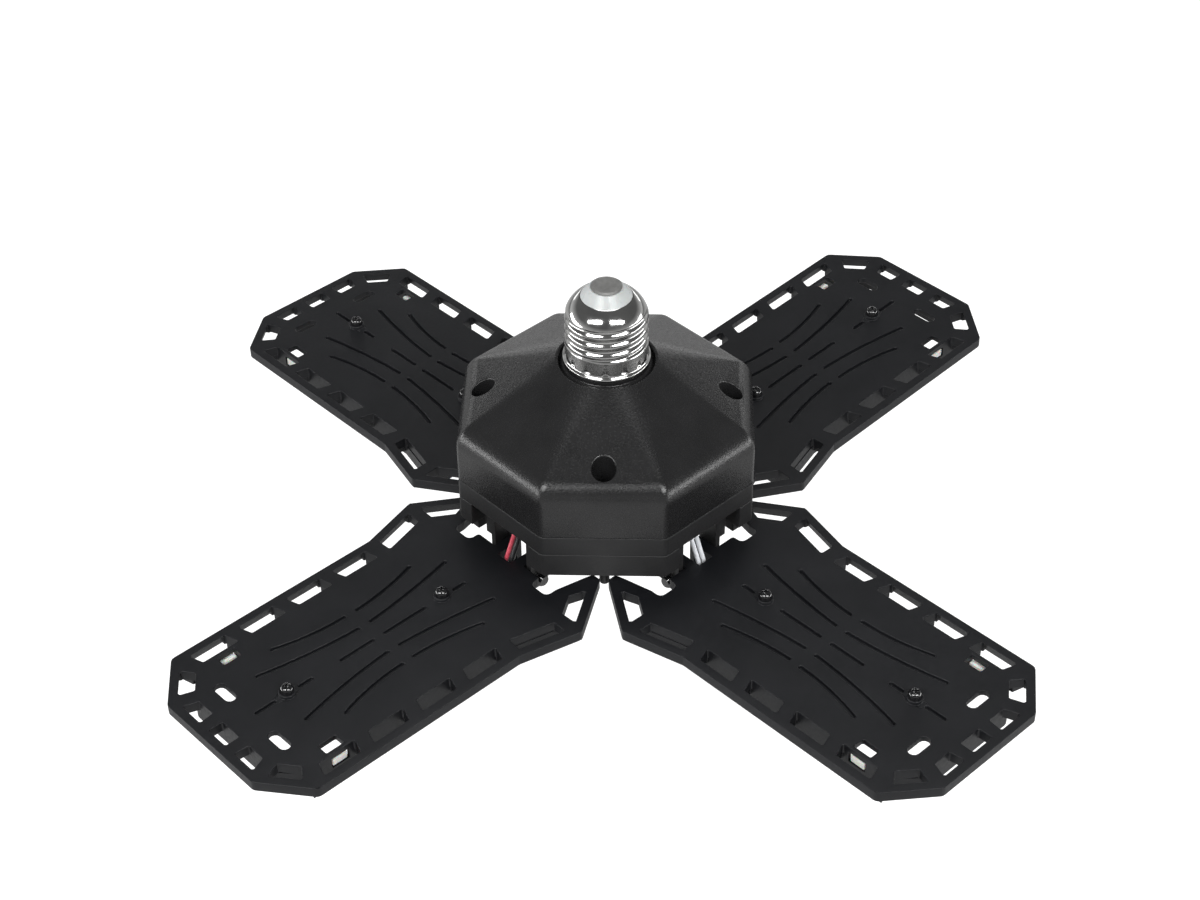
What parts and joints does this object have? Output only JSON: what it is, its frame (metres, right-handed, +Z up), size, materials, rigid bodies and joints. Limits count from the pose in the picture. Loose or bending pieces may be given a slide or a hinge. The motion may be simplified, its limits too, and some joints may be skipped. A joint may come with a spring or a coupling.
{
  "type": "deformable garage light",
  "caption": "Screw-cap ceiling light: an octagonal hub under an E27-size cap carries slotted black plates on friction hinges, each with an LED board and a milky lens on its underside.",
  "frame": {"origin": "on the cap's axis, at the middle of the cap's smooth skirt", "axes": "+Z up along the cap's axis, out of the cap; -Y towards the viewer in the picture; the wings point along the diagonals"},
  "size_m": [0.2593, 0.2593, 0.0954],
  "materials": {
    "cap_metal": "bright nickel plate, rolled",
    "cap_insulator": "smooth white, slightly glossy",
    "contact_metal": "matt pressed disc",
    "cover_black": "black moulded plastic, fine spark-eroded grain",
    "base_black": "black moulded plastic, fine grain",
    "plate_black": "die-cast, black powder coat",
    "steel_screws": "zinc plated",
    "black_screws": "glossy black oxide",
    "led_board_white": "white solder mask on aluminium",
    "led_yellow": "phosphor under clear silicone",
    "lens_white": "milky diffuser",
    "lead_red": "PVC insulation",
    "lead_white": "PVC insulation",
    "board_green": "green solder mask",
    "capacitor_blue": "dark blue sleeve on a can",
    "capacitor_yellow": "moulded box",
    "choke_winding": "copper winding on ferrite",
    "chip_black": "moulded chip package",
    "resistor_body": "painted ceramic"
  },
  "bodies": {
    "hub": {"cap_shell": "cap_metal", "cap_insulator": "cap_insulator", "cap_contact": "contact_metal", "cap_live_lead": "lead_red", "cap_neutral_lead": "lead_white", "top_cover": "cover_black", "cover_screws": "steel_screws", "base_housing": "base_black", "hinge_frame": "base_black", "frame_screws": "steel_screws", "hinge_washers": "steel_screws", "driver_board": "board_green", "board_screws": "steel_screws", "bulk_capacitor": "capacitor_blue", "film_capacitor": "capacitor_yellow", "choke": "choke_winding", "rectifier": "chip_black", "switch_chip": "chip_black", "fuse_resistor": "resistor_body", "hub_leads_front_left": "lead_red", "hub_leads_front_right": "lead_white", "hub_leads_back_right": "lead_red", "hub_leads_back_left": "lead_white"},
    "wing_front_left": {"wing_plate_front_left": "plate_black", "led_board_front_left": "led_board_white", "leds_front_left": "led_yellow", "lens_front_left": "lens_white", "lens_screws_front_left": "black_screws", "hinge_screws_front_left": "black_screws", "wing_leads_front_left": "lead_red"},
    "wing_front_right": {"wing_plate_front_right": "plate_black", "led_board_front_right": "led_board_white", "leds_front_right": "led_yellow", "lens_front_right": "lens_white", "lens_screws_front_right": "black_screws", "hinge_screws_front_right": "black_screws", "wing_leads_front_right": "lead_white"},
    "wing_back_right": {"wing_plate_back_right": "plate_black", "led_board_back_right": "led_board_white", "leds_back_right": "led_yellow", "lens_back_right": "lens_white", "lens_screws_back_right": "black_screws", "hinge_screws_back_right": "black_screws", "wing_leads_back_right": "lead_red"},
    "wing_back_left": {"wing_plate_back_left": "plate_black", "led_board_back_left": "led_board_white", "leds_back_left": "led_yellow", "lens_back_left": "lens_white", "lens_screws_back_left": "black_screws", "hinge_screws_back_left": "black_screws", "wing_leads_back_left": "lead_white"}
  },
  "joints": [
    {"name": "fold_front_left", "type": "hinge", "parent": "hub", "child": "wing_front_left", "pos_m": [-0.02729, -0.02729, -0.0674], "axis": [0.7071, -0.7071, 0], "range_deg": [-5, 90]},
    {"name": "fold_front_right", "type": "hinge", "parent": "hub", "child": "wing_front_right", "pos_m": [0.02729, -0.02729, -0.0674], "axis": [0.7071, 0.7071, 0], "range_deg": [-4, 91]},
    {"name": "fold_back_right", "type": "hinge", "parent": "hub", "child": "wing_back_right", "pos_m": [0.02729, 0.02729, -0.0674], "axis": [-0.7071, 0.7071, 0], "range_deg": [-1.5, 93.5]},
    {"name": "fold_back_left", "type": "hinge", "parent": "hub", "child": "wing_back_left", "pos_m": [-0.02729, 0.02729, -0.0674], "axis": [-0.7071, -0.7071, 0], "range_deg": [-6, 89]}
  ]
}
